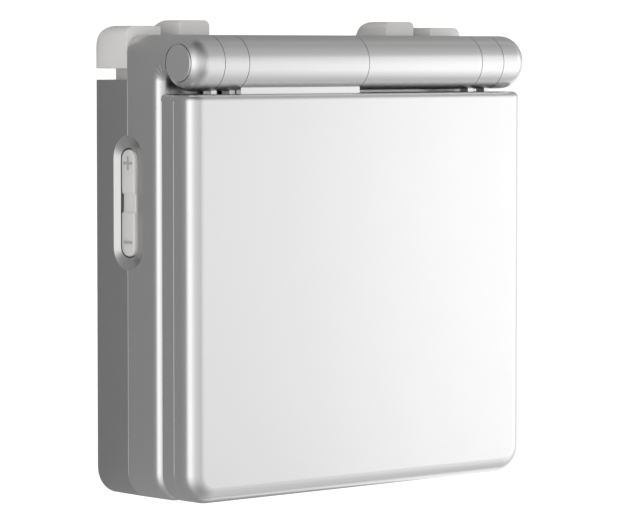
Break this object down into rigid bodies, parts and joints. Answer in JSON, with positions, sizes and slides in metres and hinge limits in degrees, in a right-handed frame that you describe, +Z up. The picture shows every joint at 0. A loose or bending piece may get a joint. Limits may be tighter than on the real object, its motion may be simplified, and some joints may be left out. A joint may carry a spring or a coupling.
{
  "type": "clamshell handheld game console",
  "caption": "Folding handheld game console: a lid with the screen turns on a barrel hinge over a base with thumb controls, shoulder keys and a side volume rocker.",
  "frame": {"origin": "centre of the underside, below the middle of the whole console's box", "axes": "+Z up out of the closed lid, +Y towards the hinge and the shoulder keys, +X to the right of someone holding it"},
  "size_m": [0.085, 0.088, 0.0287],
  "materials": {
    "shell": "satin, fine bead-blasted",
    "lid_shell": "satin, fine bead-blasted",
    "cap": "satin",
    "steel": "machined",
    "ribbon": "polyimide film",
    "board": "solder mask",
    "battery": "foil pouch",
    "silicone": "moulded silicone",
    "black_plastic": "moulded",
    "mesh": "woven dust mesh",
    "port_steel": "plated",
    "light_pipe": "clear moulded",
    "screen": "gloss, black border",
    "control": "moulded",
    "key_plastic": "moulded, fine texture"
  },
  "bodies": {
    "base": {"bottom_shell": "shell", "top_shell": "shell", "hinge_cap_left": "cap", "hinge_cap_right": "cap", "hinge_pin_left": "steel", "friction_hinge": "steel", "display_ribbon_base": "ribbon", "main_board": "board", "battery": "battery", "case_screws": "steel", "dpad_membrane": "silicone", "button_membrane": "silicone", "speakers": "black_plastic", "speaker_mesh": "mesh", "usb_c_port": "port_steel", "headphone_jack": "black_plastic", "card_slot": "port_steel", "shoulder_switches": "black_plastic", "rocker_switch": "black_plastic", "side_switches": "black_plastic", "lid_sensor": "black_plastic", "status_light": "light_pipe"},
    "lid": {"lid_cover": "lid_shell", "lid_bezel": "lid_shell", "ribbon_barrel": "lid_shell", "hinge_shaft_right": "steel", "screen_glass": "screen", "lcd_panel": "black_plastic", "lid_bumpers": "silicone", "lid_magnet": "steel", "lid_screws": "steel", "display_ribbon_lid": "ribbon"},
    "dpad_pivot": {"dpad_pivot": "control"},
    "dpad": {"dpad": "control"},
    "button_north": {"button_north": "control"},
    "button_east": {"button_east": "control"},
    "button_south": {"button_south": "control"},
    "button_west": {"button_west": "control"},
    "start_button": {"start_button": "control"},
    "select_button": {"select_button": "control"},
    "menu_button": {"menu_button": "control"},
    "power_button": {"power_button": "key_plastic"},
    "reset_button": {"reset_button": "key_plastic"},
    "shoulder_l1": {"shoulder_l1": "key_plastic"},
    "shoulder_l2": {"shoulder_l2": "key_plastic"},
    "shoulder_r1": {"shoulder_r1": "key_plastic"},
    "shoulder_r2": {"shoulder_r2": "key_plastic"},
    "volume_rocker": {"volume_rocker": "key_plastic"}
  },
  "joints": [
    {"name": "lid_hinge", "type": "hinge", "parent": "base", "child": "lid", "pos_m": [0, 0.0361, 0.02358], "axis": [-1, 0, 0], "range_deg": [0, 180]},
    {"name": "dpad_tilt_x", "type": "hinge", "parent": "base", "child": "dpad_pivot", "pos_m": [-0.025, 0.008, 0.0152], "axis": [1, 0, 0], "range_deg": [-3, 3], "stiffness_Nm_per_rad": 0.13},
    {"name": "dpad_tilt_y", "type": "hinge", "parent": "dpad_pivot", "child": "dpad", "pos_m": [-0.025, 0.008, 0.0152], "axis": [0, 1, 0], "range_deg": [-3, 3], "stiffness_Nm_per_rad": 0.13},
    {"name": "button_north_press", "type": "slide", "parent": "base", "child": "button_north", "axis": [0, 0, -1], "range_m": [0, 0.0007], "stiffness_N_per_m": 1500},
    {"name": "button_east_press", "type": "slide", "parent": "base", "child": "button_east", "axis": [0, 0, -1], "range_m": [0, 0.0007], "stiffness_N_per_m": 1500},
    {"name": "button_south_press", "type": "slide", "parent": "base", "child": "button_south", "axis": [0, 0, -1], "range_m": [0, 0.0007], "stiffness_N_per_m": 1500},
    {"name": "button_west_press", "type": "slide", "parent": "base", "child": "button_west", "axis": [0, 0, -1], "range_m": [0, 0.0007], "stiffness_N_per_m": 1500},
    {"name": "start_button_press", "type": "slide", "parent": "base", "child": "start_button", "axis": [0, 0, -1], "range_m": [0, 0.0007], "stiffness_N_per_m": 1500},
    {"name": "select_button_press", "type": "slide", "parent": "base", "child": "select_button", "axis": [0, 0, -1], "range_m": [0, 0.0007], "stiffness_N_per_m": 1500},
    {"name": "menu_button_press", "type": "slide", "parent": "base", "child": "menu_button", "axis": [0, 0, -1], "range_m": [0, 0.0007], "stiffness_N_per_m": 1500},
    {"name": "power_button_press", "type": "slide", "parent": "base", "child": "power_button", "axis": [-1, 0, 0], "range_m": [0, 0.0005], "stiffness_N_per_m": 2000},
    {"name": "reset_button_press", "type": "slide", "parent": "base", "child": "reset_button", "axis": [-1, 0, 0], "range_m": [0, 0.0005], "stiffness_N_per_m": 2000},
    {"name": "shoulder_l1_press", "type": "slide", "parent": "base", "child": "shoulder_l1", "axis": [0, -1, 0], "range_m": [0, 0.0008], "stiffness_N_per_m": 1500},
    {"name": "shoulder_l2_press", "type": "slide", "parent": "base", "child": "shoulder_l2", "axis": [0, -1, 0], "range_m": [0, 0.0008], "stiffness_N_per_m": 1500},
    {"name": "shoulder_r1_press", "type": "slide", "parent": "base", "child": "shoulder_r1", "axis": [0, -1, 0], "range_m": [0, 0.0008], "stiffness_N_per_m": 1500},
    {"name": "shoulder_r2_press", "type": "slide", "parent": "base", "child": "shoulder_r2", "axis": [0, -1, 0], "range_m": [0, 0.0008], "stiffness_N_per_m": 1500},
    {"name": "volume_rock", "type": "hinge", "parent": "base", "child": "volume_rocker", "pos_m": [-0.0396, 0.0105, 0.0094], "axis": [0, 0, 1], "range_deg": [-2.5, 2.5], "stiffness_Nm_per_rad": 0.25}
  ]
}
